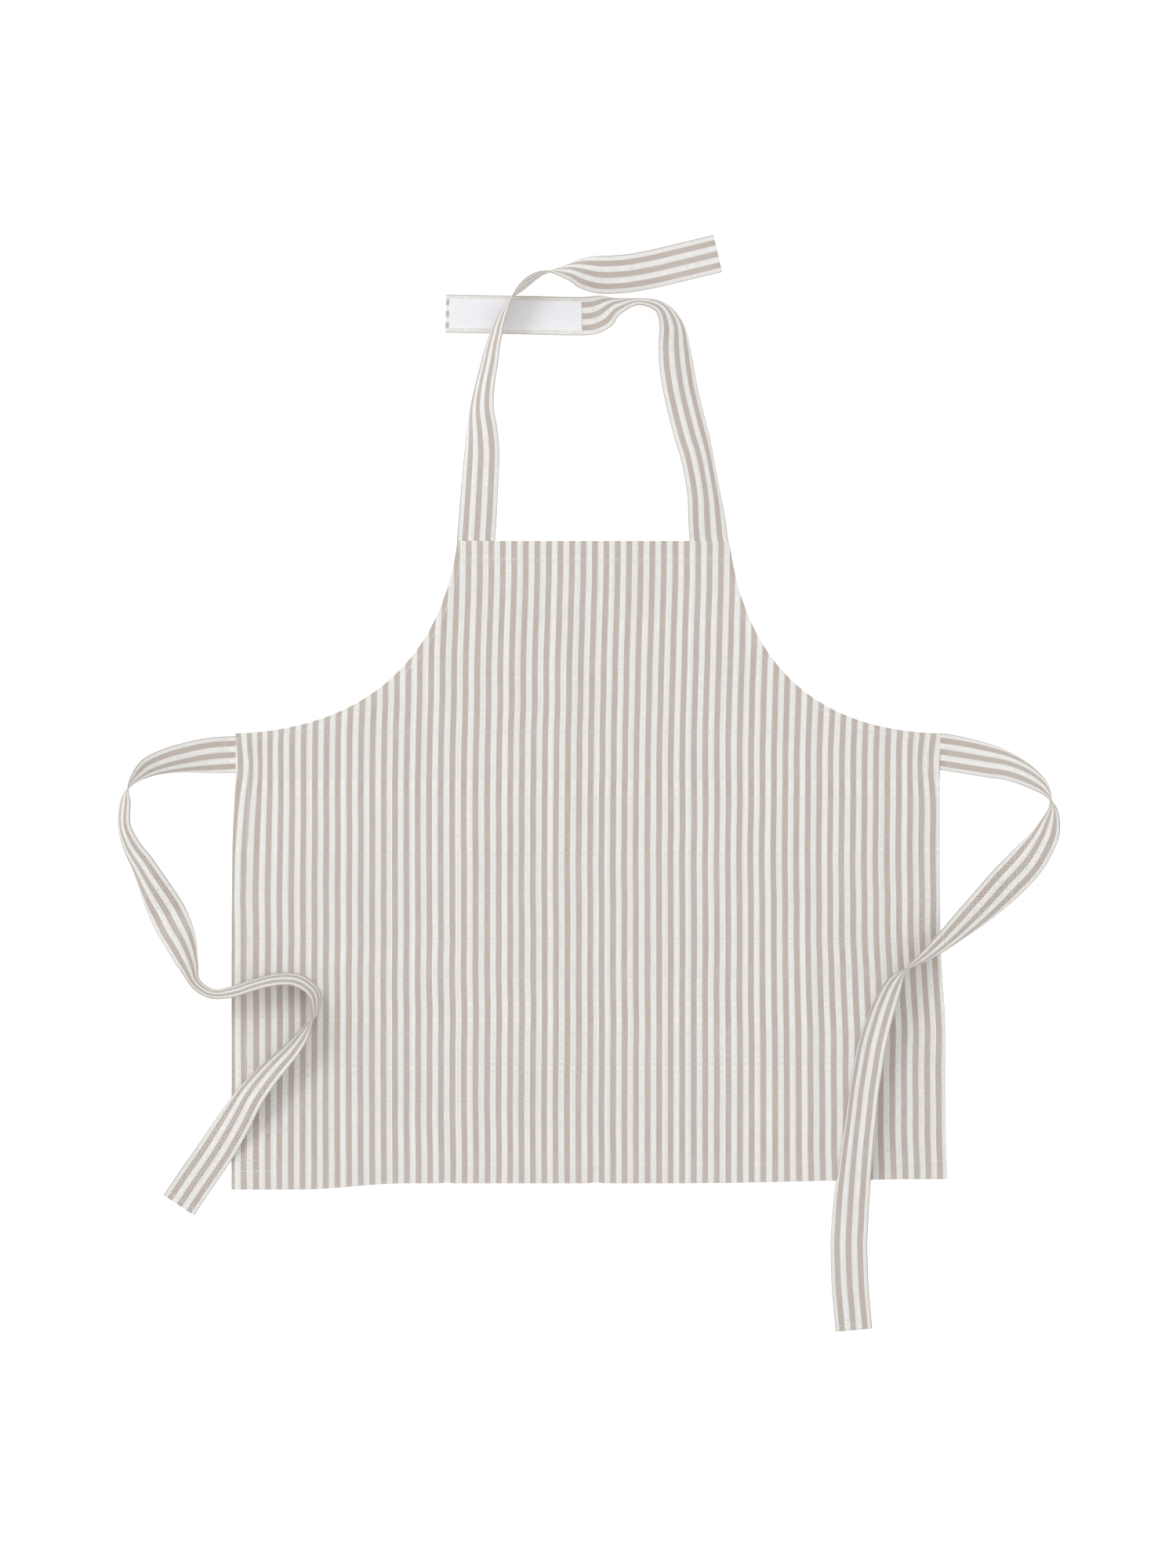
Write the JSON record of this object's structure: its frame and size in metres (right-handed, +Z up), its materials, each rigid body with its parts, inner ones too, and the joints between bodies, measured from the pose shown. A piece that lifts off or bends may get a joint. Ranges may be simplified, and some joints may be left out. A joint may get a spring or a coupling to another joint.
{
  "type": "child's apron",
  "caption": "Striped canvas bib apron laid flat, front up, with two neck straps that close with hook-and-loop tape and two loose waist ties.",
  "frame": {"origin": "on the table under the middle of the apron as it lies, straps and ties included, on the panel's flat underside", "axes": "+X across the apron to its right as seen from above, +Y towards the bib, +Z up out of the front face"},
  "size_m": [0.6377, 0.7441, 0.0288],
  "materials": {
    "striped_canvas": "matte plain-weave cotton, off-white with taupe stripes 7.8 mm apart",
    "sewing_thread": "matte white cotton thread",
    "white_tape": "matte white nylon hook-and-loop tape"
  },
  "bodies": {
    "panel": {"body_panel": "striped_canvas", "top_hem": "striped_canvas", "bottom_hem": "striped_canvas", "left_side_hem": "striped_canvas", "right_side_hem": "striped_canvas", "left_armhole_hem": "striped_canvas", "right_armhole_hem": "striped_canvas", "left_neck_strap_sewn_end": "striped_canvas", "right_neck_strap_sewn_end": "striped_canvas", "left_waist_tie_sewn_end": "striped_canvas", "right_waist_tie_sewn_end": "striped_canvas", "top_hem_stitches": "sewing_thread", "bottom_hem_stitches": "sewing_thread", "left_side_hem_stitches": "sewing_thread", "right_side_hem_stitches": "sewing_thread", "left_armhole_stitches": "sewing_thread", "right_armhole_stitches": "sewing_thread", "left_neck_strap_box_stitches": "sewing_thread", "right_neck_strap_box_stitches": "sewing_thread", "left_waist_tie_box_stitches": "sewing_thread", "right_waist_tie_box_stitches": "sewing_thread"},
    "left_strap": {"left_neck_strap": "striped_canvas", "hook_tape": "white_tape", "hook_tape_stitches": "sewing_thread", "left_neck_strap_end_stitches": "sewing_thread"},
    "right_strap": {"right_neck_strap": "striped_canvas", "loop_tape": "white_tape", "loop_tape_stitches": "sewing_thread"},
    "left_tie": {"left_waist_tie": "striped_canvas", "left_waist_tie_end_stitches": "sewing_thread"},
    "right_tie": {"right_waist_tie": "striped_canvas", "right_waist_tie_end_stitches": "sewing_thread"}
  },
  "joints": [
    {"name": "left_strap_fold", "type": "hinge", "parent": "panel", "child": "left_strap", "pos_m": [-0.076, 0.1653, 0.0018], "axis": [1, 0, 0], "range_deg": [0, 150]},
    {"name": "right_strap_fold", "type": "hinge", "parent": "panel", "child": "right_strap", "pos_m": [0.082, 0.1653, 0.0018], "axis": [1, 0, 0], "range_deg": [0, 150]},
    {"name": "left_tie_lift", "type": "hinge", "parent": "panel", "child": "left_tie", "pos_m": [-0.2413, 0.0325, 0.001], "axis": [-1, 0, 0], "range_deg": [0, 90]},
    {"name": "right_tie_lift", "type": "hinge", "parent": "panel", "child": "right_tie", "pos_m": [0.2403, 0.0345, 0.001], "axis": [-1, 0, 0], "range_deg": [0, 90]}
  ],
  "couplings": [
    {"joint": "right_strap_fold", "follows": "left_strap_fold", "ratio": 1}
  ]
}
